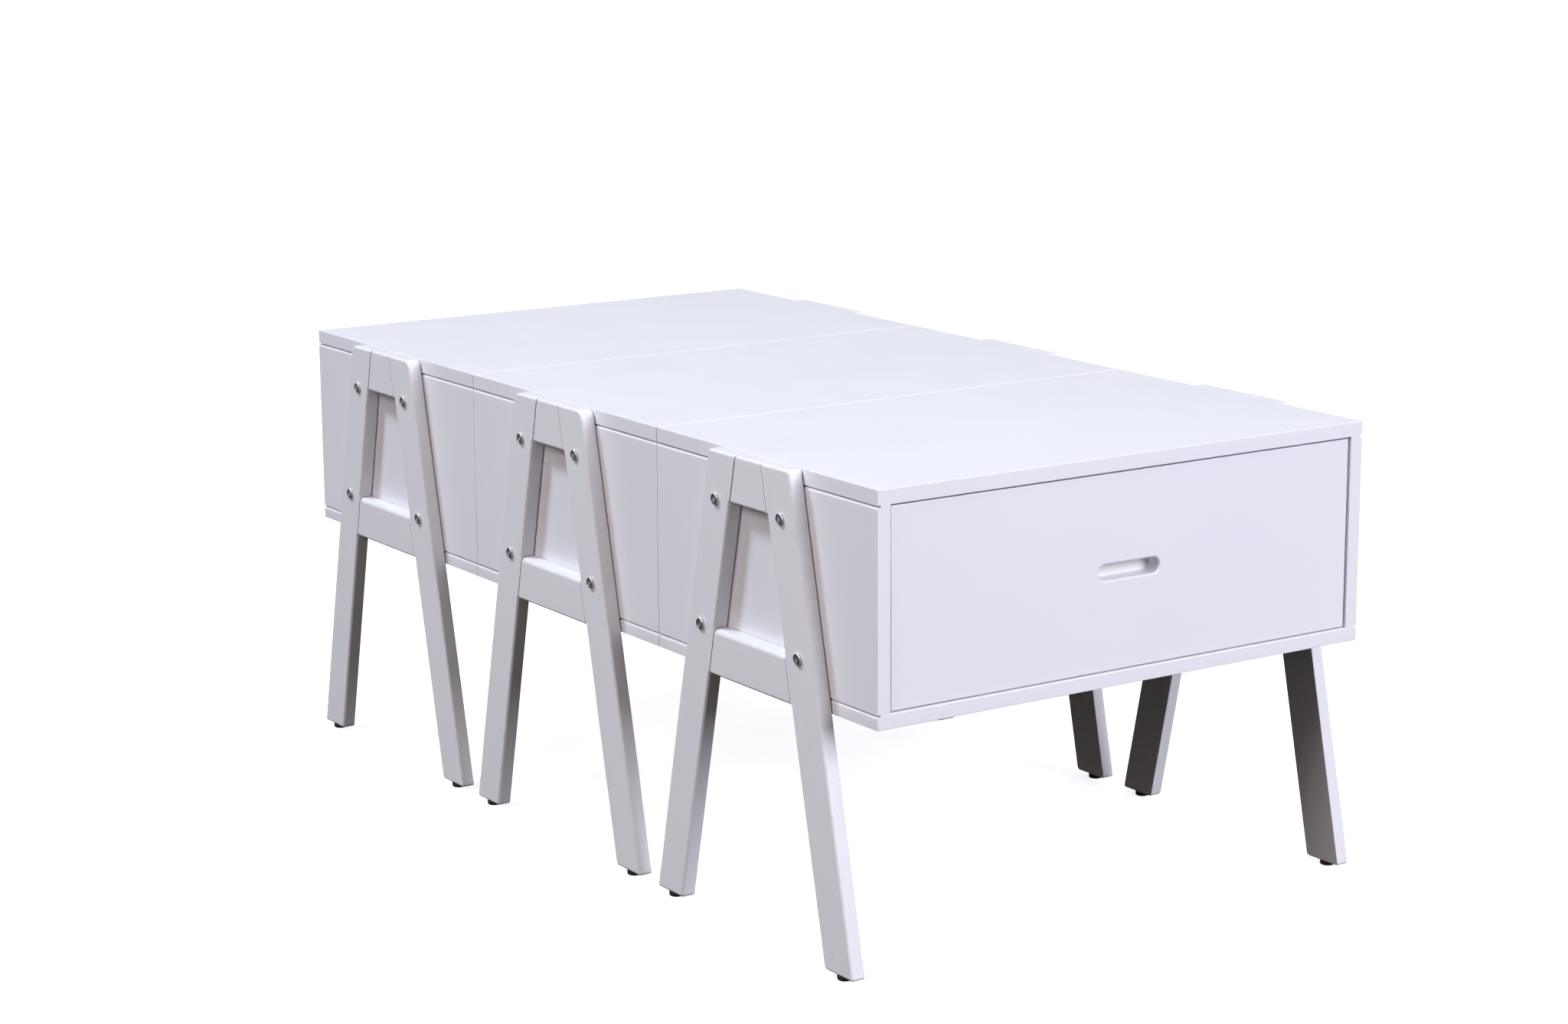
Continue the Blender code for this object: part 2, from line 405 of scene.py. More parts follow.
# %% White lacquer
WHITE = (0.80, 0.80, 0.84)
SATIN = 0.34
DRAWER_FRONT_SATIN = 0.30
PEEL_SIZE = 420  # ripples to the metre
PEEL_DEPTH = 0.00002
DRIFT_SIZE = 5
DRIFT_SHADE = (0.982, 0.982, 0.988)  # what the white is multiplied by where it drifts
GRAIN_ACROSS = 260  # grain lines to the metre
GRAIN_ALONG = 5
GRAIN_DEPTH = 0.00004
GRAIN_SHARE = 0.10
GRAIN_COLOUR = (0.60, 0.57, 0.55)
RUB_SIZE = 35
RUB_SHARE = 0.30
RUB_COLOUR = (0.66, 0.62, 0.57)
GLOSS_SIZE = 14
SMOOTHEST, ROUGHEST = -0.015, 0.02  # how far the roughness drifts
POLISH = 0.06  # roughness that handling takes off the edges


def lacquer(name, colour, gloss=SATIN, grain_turn=None):
    """White lacquer. grain_turn, in radians, lays the grain along Y when it is (0, 0, 0)."""
    recipe = Recipe(name, roughness=gloss)
    drift = recipe.noise(DRIFT_SIZE, detail=3)
    toned = tuple(channel * shade for channel, shade in zip(colour, DRIFT_SHADE))
    base = recipe.blend(recipe.remap(drift, low=0.35, high=0.65), colour, toned)

    peel = recipe.noise(PEEL_SIZE, detail=1)
    surface = recipe.bump(peel, PEEL_DEPTH)
    if grain_turn is not None:
        grain = recipe.grain(grain_turn, GRAIN_ACROSS, GRAIN_ALONG, detail=4, roughness=0.6)
        surface = recipe.bump(grain, GRAIN_DEPTH, under=surface)
        lined = recipe.remap(grain, low=0.3, high=0.8, new_high=GRAIN_SHARE)
        base = recipe.blend(lined, base, GRAIN_COLOUR)

    mark = recipe.edge_wear_and_highlight()
    rub = recipe.remap(recipe.noise(RUB_SIZE, detail=4), low=0.45, high=0.75)
    rubbed = recipe.maths("MULTIPLY", recipe.maths("MULTIPLY", mark, rub), RUB_SHARE)
    base = recipe.blend(rubbed, base, RUB_COLOUR)
    recipe.connect(base, "Base Color")

    patches = recipe.noise(GLOSS_SIZE, detail=4)
    patchy = recipe.remap(patches, 0.3, 0.7, new_low=gloss + SMOOTHEST, new_high=gloss + ROUGHEST)
    polished = recipe.maths("SUBTRACT", patchy, recipe.maths("MULTIPLY", mark, POLISH))
    recipe.connect(polished, "Roughness")
    recipe.connect(surface, "Normal")
    return recipe.material


box_white = lacquer("box_white", WHITE)
front_white = lacquer("drawer_front_white", WHITE, gloss=DRAWER_FRONT_SATIN)
print("made", box_white.name, "and", front_white.name)

# %% [markdown]
# The boards of the drawer box are paler than wood but less white than the outside:
# one thin coat, with the grain of the board showing through. It is the same idea with
# more grain and less gloss.

# %% Thin white coat for the drawer boards
COAT_COLOURS = (0.80, 0.79, 0.79), (0.76, 0.75, 0.74)
COAT_DRIFT_SIZE = 4
COAT_GRAIN_ACROSS = 150  # grain lines to the metre
COAT_GRAIN_ALONG = 4
COAT_GRAIN_DEPTH = 0.00008
COAT_GRAIN_SHARE = 0.30
COAT_GRAIN_COLOUR = (0.62, 0.57, 0.50)
COAT_RUB_SIZE = 40
COAT_RUB_SHARE = 0.5
COAT_RUB_COLOUR = (0.60, 0.52, 0.42)
COAT_SMOOTHEST, COAT_ROUGHEST = 0.42, 0.58
QUARTER = math.pi / 2


def drawer_coat(name, grain_turn):
    recipe = Recipe(name, roughness=0.5)
    grain = recipe.grain(grain_turn, COAT_GRAIN_ACROSS, COAT_GRAIN_ALONG, detail=5, roughness=0.65)
    cloud = recipe.noise(COAT_DRIFT_SIZE, detail=3)
    base = recipe.blend(recipe.remap(cloud, low=0.3, high=0.7), *COAT_COLOURS)
    lined = recipe.remap(grain, low=0.35, high=0.75, new_high=COAT_GRAIN_SHARE)
    base = recipe.blend(lined, base, COAT_GRAIN_COLOUR)
    rub = recipe.noise(COAT_RUB_SIZE, detail=4)
    rub = recipe.remap(rub, low=0.45, high=0.7, new_high=COAT_RUB_SHARE)
    rubbed = recipe.maths("MULTIPLY", recipe.edge_wear_and_highlight(), rub)
    recipe.connect(recipe.blend(rubbed, base, COAT_RUB_COLOUR), "Base Color")
    patchy = recipe.remap(grain, 0.3, 0.8, new_low=COAT_SMOOTHEST, new_high=COAT_ROUGHEST)
    recipe.connect(patchy, "Roughness")
    recipe.connect(recipe.bump(grain, COAT_GRAIN_DEPTH), "Normal")
    return recipe.material


coat_along_y = drawer_coat("drawer_coat_lengthways", (0, 0, 0))
coat_along_x = drawer_coat("drawer_coat_crossways", (0, 0, QUARTER))

# %% [markdown]
# The bolts are bright zinc-plated steel. Plating is never even, so both its tone and
# its gloss drift, and its surface is very finely pitted. Its rounded rim is painted
# lighter, a painted highlight.
# The glides are moulded black plastic, matt from the mould and scuffed grey where they
# slide on the floor.

# %% Plated steel and black plastic
STEEL_COLOURS = (0.66, 0.66, 0.69), (0.46, 0.46, 0.49)
# the painted highlight on the rounded rim of a head: its colour and its share
STEEL_RIM_HIGHLIGHT = (0.82, 0.82, 0.84)
STEEL_RIM_HIGHLIGHT_SHARE = 0.4
STEEL_SMOOTHEST, STEEL_ROUGHEST = 0.30, 0.46
PIT_SIZE = 2500  # pits to the metre
PIT_DEPTH = 0.00001

PLASTIC_COLOUR = (0.028, 0.028, 0.031)
SCUFF_COLOUR = (0.13, 0.12, 0.12)
SCUFF_HEIGHT = 0.0012  # above the floor
PLASTIC_SMOOTHEST, PLASTIC_ROUGHEST = 0.40, 0.62
MOULD_GRAIN_SIZE = 1800
MOULD_GRAIN_DEPTH = 0.00003


def plated_steel():
    recipe = Recipe("plated_steel", metallic=1.0)
    cloud = recipe.noise(300, detail=3)
    base = recipe.blend(recipe.remap(cloud, low=0.3, high=0.7), *STEEL_COLOURS)
    # the rounded rim is painted lighter than the rest: a painted highlight
    painted_rim_highlight = recipe.maths("MULTIPLY", recipe.edge_wear_and_highlight(), STEEL_RIM_HIGHLIGHT_SHARE)
    recipe.connect(recipe.blend(painted_rim_highlight, base, STEEL_RIM_HIGHLIGHT), "Base Color")
    patches = recipe.noise(900, detail=2)
    patchy = recipe.remap(patches, 0.3, 0.7, new_low=STEEL_SMOOTHEST, new_high=STEEL_ROUGHEST)
    recipe.connect(patchy, "Roughness")
    recipe.connect(recipe.bump(recipe.noise(PIT_SIZE, detail=1), PIT_DEPTH), "Normal")
    return recipe.material


def black_plastic(floor_level):
    recipe = Recipe("black_plastic", roughness=0.5)
    height = recipe.node("ShaderNodeSeparateXYZ", {0: recipe.object_space}).outputs["Z"]
    low_down = recipe.remap(height, floor_level + SCUFF_HEIGHT, floor_level)
    scuffs = recipe.remap(recipe.noise(700, detail=4), low=0.4, high=0.7)
    scuffed = recipe.maths("MULTIPLY", low_down, scuffs)
    recipe.connect(recipe.blend(scuffed, PLASTIC_COLOUR, SCUFF_COLOUR), "Base Color")
    patches = recipe.noise(500, detail=3)
    patchy = recipe.remap(patches, 0.3, 0.7, new_low=PLASTIC_SMOOTHEST, new_high=PLASTIC_ROUGHEST)
    recipe.connect(patchy, "Roughness")
    recipe.connect(recipe.bump(recipe.noise(MOULD_GRAIN_SIZE, detail=2), MOULD_GRAIN_DEPTH), "Normal")
    return recipe.material


steel = plated_steel()
plastic = black_plastic(frame_low.z)

# %% [markdown]
# ## The box
#
# The box of a table is four boards round the drawer: the top and the bottom run
# across, and the sides stand between them. On the front edge the joints are filled
# and sprayed over and can't be seen. Along the sides each joint shows as a groove: the
# lower board has a tongue that stands a little back from the outside, and the edge
# beside the tongue is rounded. The tongue is an extrusion of the middle of the upper
# face, marked out by a bisect.

# %% Measure the box
FIRST = TABLES[0]
EASE = 0.0008  # an outside edge, just broken with sandpaper
LIP = 0.003  # radius of the rounded edge below a groove
TONGUE_HEIGHT = 0.0015
TONGUE_BACK = 0.0036  # from the outside of the box
OPENING_EASE = 0.0005
SILL_ROUND = 0.0025  # front edge of the bottom board, under the drawer front

top_low, top_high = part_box(f"{FIRST}_top_panel")
bottom_low, bottom_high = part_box(f"{FIRST}_bottom_panel")
side_low, side_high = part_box(f"{FIRST}_side_panel_left")
side_low.z, side_high.z = bottom_high.z, top_low.z
box_front = top_low.y
opening_reach = -side_high.x
print("opening", round(2 * opening_reach, 4), "wide,", round(side_high.z - side_low.z, 4), "high")

# %% [markdown]
# With the sizes known, the boards are cut, extruded and rounded in edit mode. The right
# side board is the mirror image of the left one.

# %% Shape the four boards
def bisect_at(axis, *places):
    """Cuts new edges across the open mesh at these places on an axis."""
    normal = Vector()
    normal[axis] = 1
    for place in places:
        bpy.ops.mesh.select_all(action="SELECT")
        bpy.ops.mesh.bisect(plane_co=normal * place, plane_no=normal)


def raise_tongue(inside):
    """Extrudes the part of the upper face whose middle passes the test."""
    pick("FACE", lambda f: f.normal.z > FACING and inside(f.calc_center_median()))
    bpy.ops.mesh.extrude_region_move(TRANSFORM_OT_translate={"value": (0, 0, TONGUE_HEIGHT)})


def on_opening(edge, height):
    return at(edge, Z, height) and at(edge, Y, box_front) and abs(edge_middle(edge).x) < opening_reach


def shape_top():
    board = start_board("top_board", top_low, top_high)
    bisect_at(X, -opening_reach, opening_reach)
    round_edges(OPENING_EASE, lambda e: on_opening(e, top_low.z), steps=2)

    def on_outside(edge):
        return is_corner(edge) and (at(edge, Z, top_high.z) or runs_along(edge, Z))

    round_edges(EASE, on_outside, steps=3)
    close_board()
    return board


def shape_bottom():
    shoulder = bottom_high.z - TONGUE_HEIGHT
    tongue_reach = bottom_high.x - TONGUE_BACK
    board = start_board("bottom_board", bottom_low, Vector((*bottom_high.xy, shoulder)))
    bisect_at(X, -tongue_reach, tongue_reach)
    raise_tongue(lambda middle: abs(middle.x) < tongue_reach)
    round_edges(LIP, lambda e: at(e, Z, shoulder) and abs(edge_middle(e).x) > bottom_high.x - NEAR)
    bisect_at(X, -opening_reach, opening_reach)
    round_edges(SILL_ROUND, lambda e: on_opening(e, bottom_high.z))

    def on_outside(edge):
        at_corner = runs_along(edge, Z) and abs(edge_middle(edge).x) > bottom_high.x - NEAR
        return is_corner(edge) and (at_corner or at(edge, Z, bottom_low.z))

    round_edges(EASE, on_outside, steps=3)
    close_board()
    return board


def shape_side():
    """The left side board, which fills the height between bottom and top."""
    shoulder = side_high.z - TONGUE_HEIGHT
    tongue_edge = side_low.x + TONGUE_BACK
    board = start_board("side_board_left", side_low, Vector((*side_high.xy, shoulder)))
    bisect_at(X, tongue_edge)
    raise_tongue(lambda middle: middle.x > tongue_edge)
    round_edges(LIP, lambda e: at(e, Z, shoulder) and at(e, X, side_low.x))
    round_edges(EASE, lambda e: runs_along(e, Z) and at(e, X, side_low.x), steps=3)

    def beside_opening(edge):
        return runs_along(edge, Z) and at(edge, X, side_high.x) and at(edge, Y, box_front)

    round_edges(OPENING_EASE, beside_opening, steps=2)
    close_board()
    return board


boards = {"top_board": shape_top(), "bottom_board": shape_bottom(), "side_board_left": shape_side()}
boards["side_board_right"] = mirrored_copy(boards["side_board_left"], "side_board_right", axis=X, plane=0)
for name, board in boards.items():
    print(name, "has", len(board.data.polygons), "faces")

# %% [markdown]
# ## The drawer front
#
# The front is one board with a finger slot cut right through it. The slot starts as a
# small block whose four long edges are rounded until its ends are half circles. A
# Boolean takes that block out of the board, and the rim it leaves is rounded over,
# so that it is kind to fingers.

# %% Shape the drawer front
SLOT_LENGTH = 0.080  # over the rounded rim
SLOT_HEIGHT = 0.020
SLOT_ROUND = 0.0022
NEARLY_ALL = 0.998  # of half the height, so that the rounded corners don't quite meet
FRONT_EASE = 0.0009

front_low, front_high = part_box(f"{FIRST}_drawer_front")
slot_middle = Vector((0, (front_low.y + front_high.y) / 2, (bottom_low.z + top_high.z) / 2))
slot_reach = Vector((SLOT_LENGTH / 2 - SLOT_ROUND, front_high.y - front_low.y, SLOT_HEIGHT / 2 - SLOT_ROUND))


def subtract(board, cutter):
    """Cuts one object out of another and removes the cutter."""
    bpy.ops.object.mode_set(mode="OBJECT")
    choose(board)
    cut = board.modifiers.new("cut", "BOOLEAN")
    cut.operation = "DIFFERENCE"
    cut.solver = "EXACT"
    cut.object = cutter
    bpy.ops.object.modifier_apply(modifier=cut.name)
    bpy.data.objects.remove(cutter)


def slot_cutter():
    cutter = start_board("slot_cutter", slot_middle - slot_reach, slot_middle + slot_reach)
    round_edges(NEARLY_ALL * slot_reach.z, lambda e: runs_along(e, Y), steps=12)
    return cutter


def shape_drawer_front():
    board = start_board("drawer_front", front_low, front_high)
    round_edges(FRONT_EASE, lambda e: at(e, Y, front_low.y), steps=3)
    bpy.ops.object.mode_set(mode="OBJECT")
    subtract(board, slot_cutter())
    choose(board)
    bpy.ops.object.mode_set(mode="EDIT")

    def on_rim(edge):
        away = edge_middle(edge) - slot_middle
        inside = abs(away.x) < SLOT_LENGTH / 2 and abs(away.z) < SLOT_HEIGHT / 2
        return inside and at(edge, Y, front_low.y) and is_corner(edge)

    round_edges(SLOT_ROUND, on_rim, steps=5)
    bpy.ops.object.mode_set(mode="OBJECT")
    return board


drawer = {"drawer_front": shape_drawer_front()}
print("drawer front:", len(drawer["drawer_front"].data.polygons), "faces")

# %% [markdown]
# ## The drawer box
#
# Behind the front are four boards. The two sides run the full length, and the front
# and back boards stand between them. Each has a groove near its lower edge for the
# thin bottom. The groove is a Boolean cut with a block shaped like the bottom but a
# hair thicker, which is much what a router bit does.

# %% Shape the drawer boards
BOARD = 0.012
BOARD_EASE = 0.0015
TRAY_PLAY = 0.0003  # between the drawer bottom and its groove

ring_low, ring_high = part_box(f"{FIRST}_drawer_frame")
tray_low, tray_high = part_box(f"{FIRST}_drawer_bottom")


def shape_drawer_board(name, low, high, along):
    """A board with its upper edges rounded, along one axis, and a groove for the bottom."""
    board = start_board(name, low, high)
    round_edges(BOARD_EASE, lambda e: at(e, Z, high.z) and runs_along(e, along), steps=3)
    bpy.ops.object.mode_set(mode="OBJECT")
    play = Vector((TRAY_PLAY, TRAY_PLAY, TRAY_PLAY))
    subtract(board, start_board("groove_cutter", tray_low - play, tray_high + play))
    return board


def shape_drawer_side():
    low, high = ring_low.copy(), ring_high.copy()
    high.x = low.x + BOARD
    return shape_drawer_board("drawer_side_left", low, high, along=Y)


def shape_drawer_end(name, y_low):
    low = Vector((ring_low.x + BOARD, y_low, ring_low.z))
    high = Vector((ring_high.x - BOARD, y_low + BOARD, ring_high.z))
    return shape_drawer_board(name, low, high, along=X)


drawer["drawer_side_left"] = shape_drawer_side()
drawer["drawer_side_right"] = mirrored_copy(
    drawer["drawer_side_left"], "drawer_side_right", axis=X, plane=0
)
drawer["drawer_inner_front"] = shape_drawer_end("drawer_inner_front", ring_low.y)
drawer["drawer_back"] = shape_drawer_end("drawer_back", ring_high.y - BOARD)
print("drawer boards:", ", ".join(drawer))

# %% [markdown]
# Four screws hold the front to the drawer box. Their heads are seen only in the open
# drawer. A screw head starts as a flat cylinder. Its outer rim is rounded, and a
# Boolean with two thin blocks presses the cross into it.

# %% Shape a screw head
SCREW_RADIUS = 0.0042
SCREW_HEAD = 0.0022
CROSS_LENGTH = 0.0048
CROSS_WIDTH = 0.0011
CROSS_DEPTH = 0.0014
SCREW_SPREAD = Vector((0.19, 0, 0.042))  # from the middle of the front
SCREW_SIDES = 24


def shape_screw(name, place):
    """A pan head on a face that looks along +Y, with its underside at this place."""
    bpy.ops.object.select_all(action="DESELECT")
    bpy.ops.mesh.primitive_cylinder_add(
        vertices=SCREW_SIDES,
        radius=SCREW_RADIUS,
        depth=SCREW_HEAD,
        location=place + Vector((0, SCREW_HEAD / 2, 0)),
        rotation=(-QUARTER, 0, 0),
    )
    bpy.ops.object.transform_apply(location=True, rotation=True, scale=True)
    head = bpy.context.object
    head.name = head.data.name = name
    face = place.y + SCREW_HEAD
    bpy.ops.object.mode_set(mode="EDIT")
    round_edges(SCREW_HEAD / 2, lambda e: at(e, Y, face))
    for length, width in ((CROSS_LENGTH, CROSS_WIDTH), (CROSS_WIDTH, CROSS_LENGTH)):
        low = Vector((place.x - length / 2, face - CROSS_DEPTH, place.z - width / 2))
        high = Vector((place.x + length / 2, face + CROSS_DEPTH, place.z + width / 2))
        bpy.ops.object.mode_set(mode="OBJECT")
        subtract(head, start_board("cross", low, high))
    return head


screw = shape_screw("screw", Vector((0, ring_low.y + BOARD, slot_middle.z)))
screw_places = {
    f"drawer_screw_{side}_{height}": Vector((across * SCREW_SPREAD.x, 0, up * SCREW_SPREAD.z))
    for side, across in SIDES.items()
    for height, up in (("lower", -1), ("upper", 1))
}
for name, offset in screw_places.items():
    drawer[name] = shifted_copy(screw, name, offset)
bpy.data.objects.remove(screw)
print(len(screw_places), "screws to a drawer")

# %% [markdown]
# ## The A-frames
#
# Each side of a table has an A of two raked legs with two rails between them. The
# rake is worked out from the frame: the lower rail reaches further than the upper
# one, and that difference over their difference in height is the slope of the legs.

# %% Measure the A-frame
upper_low, upper_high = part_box(f"{FIRST}_upper_rail_left")
lower_low, lower_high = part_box(f"{FIRST}_lower_rail_left")
leg_low, leg_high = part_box(f"{FIRST}_leg_left_front")
table_middle = middle_of(f"{FIRST}_top_panel")

slope = (lower_high.y - upper_high.y) / (upper_low.z - lower_low.z)
rake = math.atan(slope)
STAND_OFF = 0.0008  # the boards are planed this much thinner, on the side of the box
outer_face, box_face = upper_low.x, upper_high.x - STAND_OFF  # of the left A-frame
leg_height = leg_high.z - leg_low.z
leg_width = (leg_high.y - leg_low.y) - slope * leg_height  # measured level
print("rake", round(math.degrees(rake), 2), "degrees, leg", round(leg_width * math.cos(rake), 4), "wide")

# %% [markdown]
# A leg starts as an upright board. Its lower end is picked and moved outwards, which
# rakes it and leaves both ends level. It is glued up with the rails before the edges
# are rounded, so the rounding stops where a rail meets the leg: bisects at the heights
# of the rails split the inner edges, and only the free stretches are bevelled. The
# corner at the top of the leg was rounded by hand and differs from frame to frame.

# %% Shape a leg
OUTER_ROUND = 0.0028  # edges on the face that is seen
BOX_SIDE_ROUND = 0.0010  # edges against the box
FOOT_CORNER = 0.0032
TOP_CORNER = {TABLES[0]: 0.0034, TABLES[1]: 0.0085, TABLES[2]: 0.0075}


def beside_a_rail(height):
    """True if a rail meets the leg at this height."""
    return lower_low.z < height < lower_high.z or height > upper_low.z


def inner_edge_at(height):
    """The y of the leg's inner edge, the one that meets the rails."""
    return leg_high.y - slope * (leg_high.z - height)


def is_free(edge):
    """True for an edge that can be rounded, so not one in a joint with a rail."""
    middle = edge_middle(edge)
    on_inner_edge = abs(middle.y - inner_edge_at(middle.z)) < NEAR
    return not (on_inner_edge and (beside_a_rail(middle.z) or at(edge, Z, leg_high.z)))


def shape_leg(table):
    low = Vector((outer_face, leg_high.y - leg_width, leg_low.z))
    high = Vector((box_face, leg_high.y, leg_high.z))
    board = start_board(f"{table}_leg", low, high)
    pick("FACE", lambda f: f.normal.z < -FACING)
    bpy.ops.transform.translate(value=(0, -slope * leg_height, 0))
    bisect_at(Z, lower_low.z, lower_high.z, upper_low.z)

    def end_corner(edge, height):
        return runs_along(edge, X) and at(edge, Z, height)

    round_edges(TOP_CORNER[table], lambda e: end_corner(e, high.z) and at(e, Y, low.y), steps=6)
    round_edges(FOOT_CORNER, lambda e: end_corner(e, low.z), steps=4)
    for face, radius, steps in ((outer_face, OUTER_ROUND, 5), (box_face, BOX_SIDE_ROUND, 3)):
        round_edges(radius, lambda e: at(e, X, face) and is_free(e) and is_corner(e), steps)
    close_board()
    choose(board)
    bpy.ops.transform.translate(value=step_to(table))
    bpy.ops.object.transform_apply(location=True, rotation=True, scale=True)
    return board


legs = {table: shape_leg(table) for table in TABLES}
for table, leg in legs.items():
    print(leg.name, "has", len(leg.data.polygons), "faces")

# %% [markdown]
# A rail starts as a cube as long as its lower edge. Its upper face is squeezed to the
# length of its upper edge, so both ends take the rake of the legs. The long edges get
# a radius each: the lower rail's upper edge is the roundest of all, as it is the one
# that a hand finds. The ends are barely broken, which draws a fine line at each joint.

# %% Shape the rails
RAIL_ROUND = 0.0055
JOINT_EASE = 0.0007
FRONT_GAP = 0.0004  # at the joints, on top of the frame's own hair of play
REAR_GAP = {"upper_rail": 0.0010, "lower_rail": 0.0005}


def shape_rail(name, low, high, upper_round, lower_round):
    board = start_board(name, low, Vector((box_face, high.y, high.z)))
    pick("FACE", lambda f: f.normal.z > FACING)
    shorter = 1 - 2 * slope * (high.z - low.z) / (high.y - low.y)
    bpy.ops.transform.resize(value=(1, shorter, 1), center_override=(0, table_middle.y, high.z))
    for way, gap in ((-1, FRONT_GAP), (1, REAR_GAP[name])):
        pick("FACE", lambda f: f.normal.y * way > FACING)
        bpy.ops.transform.translate(value=(0, -way * gap, 0))

    def is_long(edge, height, face):
        return at(edge, Z, height) and at(edge, X, face) and runs_along(edge, Y)

    def on_end(edge):
        return any(abs(f.normal.y) > FACING for f in edge.link_faces) and is_corner(edge)

    for height, radius in ((high.z, upper_round), (low.z, lower_round)):
        round_edges(radius, lambda e: is_long(e, height, low.x), steps=6)
        round_edges(BOX_SIDE_ROUND, lambda e: is_long(e, height, box_face), steps=3)
    round_edges(JOINT_EASE, on_end, steps=2)
    close_board()
    return board


rails = {
    "upper_rail": shape_rail("upper_rail", upper_low, upper_high, OUTER_ROUND, OUTER_ROUND),
    "lower_rail": shape_rail("lower_rail", lower_low, lower_high, RAIL_ROUND, OUTER_ROUND),
}
for rail in rails.values():
    print(rail.name, "has", len(rail.data.polygons), "faces")

# %% [markdown]
# ## Bolts and glides
#
# A bolt head is a short cylinder. Its rim is rounded, its face is inset and sunk a
# little to leave a raised ring, and a six-sided block is cut out of it for the key.
# It stands on the middle line of the leg, a rail's width below the top and above the
# underside of the box.

# %% Shape a bolt head
BOLT_RADIUS = 0.0058
BOLT_RIM = 0.0011
RING = 0.0016
BOLT_SIDES = 36
KEY_RADIUS = 0.0026
KEY_SIDES = 6
FACE_SUNK = 1 / 8  # of the head's height
KEY_FLOOR = 1 / 5  # of the head's height, from the leg to the bottom of the key hole
UPPER_BOLT_DROP = 0.0485
LOWER_BOLT_RISE = 0.0490

bolt_height = outer_face - leg_low.x


def bolt_place(height):
    """On the outer face of the leg, on its middle line."""
    return Vector((outer_face, inner_edge_at(height) - leg_width / 2, height))


bolt_places = {
    "upper": bolt_place(top_high.z - UPPER_BOLT_DROP),
    "lower": bolt_place(bottom_low.z + LOWER_BOLT_RISE),
}


def add_disc(name, place, radius, depth, sides):
    """A cylinder that stands out from a left-hand face, along -X."""
    bpy.ops.object.select_all(action="DESELECT")
    bpy.ops.mesh.primitive_cylinder_add(
        vertices=sides,
        radius=radius,
        depth=depth,
        location=place - Vector((depth / 2, 0, 0)),
        rotation=(0, -QUARTER, 0),
    )
    bpy.ops.object.transform_apply(location=True, rotation=True, scale=True)
    disc = bpy.context.object
    disc.name = disc.data.name = name
    bpy.ops.object.mode_set(mode="EDIT")
    return disc


def shape_bolt(name, place):
    head = add_disc(name, place, BOLT_RADIUS, bolt_height, BOLT_SIDES)
    face = place.x - bolt_height
    round_edges(BOLT_RIM, lambda e: at(e, X, face))
    pick("FACE", lambda f: f.normal.x < -STRAIGHT_ON)
    bpy.ops.mesh.inset(thickness=RING - BOLT_RIM)
    sunk = (bolt_height * FACE_SUNK, 0, 0)
    bpy.ops.mesh.extrude_region_move(TRANSFORM_OT_translate={"value": sunk})
    bpy.ops.object.mode_set(mode="OBJECT")
    key_floor = place - Vector((bolt_height * KEY_FLOOR, 0, 0))
    subtract(head, add_disc("key", key_floor, KEY_RADIUS, bolt_height, KEY_SIDES))
    return head


bolts = {"upper": shape_bolt("bolt_upper", bolt_places["upper"])}
bolts["lower"] = shifted_copy(bolts["upper"], "bolt_lower", bolt_places["lower"] - bolt_places["upper"])
print("a bolt head stands", round(bolt_height * 1000, 1), "mm proud of its leg")

# %% [markdown]
# A glide is a round plastic button under each leg. Its lower rim is rounded, so that
# it slides without catching, and the middle of its sole is hollow, where its nail goes
# in. It starts as a cylinder standing on the floor.

# %% Shape a glide
GLIDE_SIDES = 32
SOLE_ROUND = 0.0014
SHOULDER_ROUND = 0.0004
SOLE_RIM = 1 / 3  # of the radius, round the hollow in the sole

glide_low, glide_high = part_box(f"{FIRST}_foot_left_front")


def shape_glide():
    radius = (glide_high.x - glide_low.x) / 2
    bpy.ops.object.select_all(action="DESELECT")
    bpy.ops.mesh.primitive_cylinder_add(
        vertices=GLIDE_SIDES,
        radius=radius,
        depth=glide_high.z - glide_low.z,
        location=(glide_low + glide_high) / 2,
    )
    bpy.ops.object.transform_apply(location=True, rotation=True, scale=True)
    glide = bpy.context.object
    glide.name = glide.data.name = "glide"
    bpy.ops.object.mode_set(mode="EDIT")
    round_edges(SOLE_ROUND, lambda e: at(e, Z, glide_low.z))
    round_edges(SHOULDER_ROUND, lambda e: at(e, Z, glide_high.z), steps=2)
    pick("FACE", lambda f: f.normal.z < -STRAIGHT_ON)
    bpy.ops.mesh.inset(thickness=radius * SOLE_RIM)
    bpy.ops.mesh.extrude_region_move(TRANSFORM_OT_translate={"value": (0, 0, SOLE_ROUND)})
    close_board()
    return glide


glide = shape_glide()
print("glide:", len(glide.data.polygons), "faces")

# %% [markdown]
# ## Putting the tables together
#
# The frame boards need their grain to follow them: it runs level along a rail and
# leans with the rake along a leg, forwards on one and backwards on the other. One
# lacquer is made for each of those ways.

# %% Lacquer for the A-frames
FRAME_WHITE = (0.80, 0.80, 0.835)
rail_white = lacquer("rail_white", FRAME_WHITE, grain_turn=(0, 0, 0))
leg_white = {
    end: lacquer(f"{end}_leg_white", FRAME_WHITE, grain_turn=(QUARTER + lean * rake, 0, 0))
    for end, lean in ENDS.items()
}
print("frame lacquers:", rail_white.name, *(white.name for white in leg_white.values()))

# %% [markdown]
# Now each shaped piece is copied to its places. The boards and the drawer of the
# first table are shifted to the others. Legs, bolts and glides are mirrored to the
# rear and then to the right, and rails only to the right.

# %% Boxes and drawers on every table
def place_boards(table, step):
    body = f"{table}_body"
    for name, board in boards.items():
        node = f"{table}_{name.replace('board', 'panel')}"
        twin = shifted_copy(board, f"{table}_{name}", step)
        finish_piece(twin, body, box_white, [node])
    back = frame["nodes"][f"{table}_back_panel"]
    back.data.materials.clear()
    back.data.materials.append(box_white)


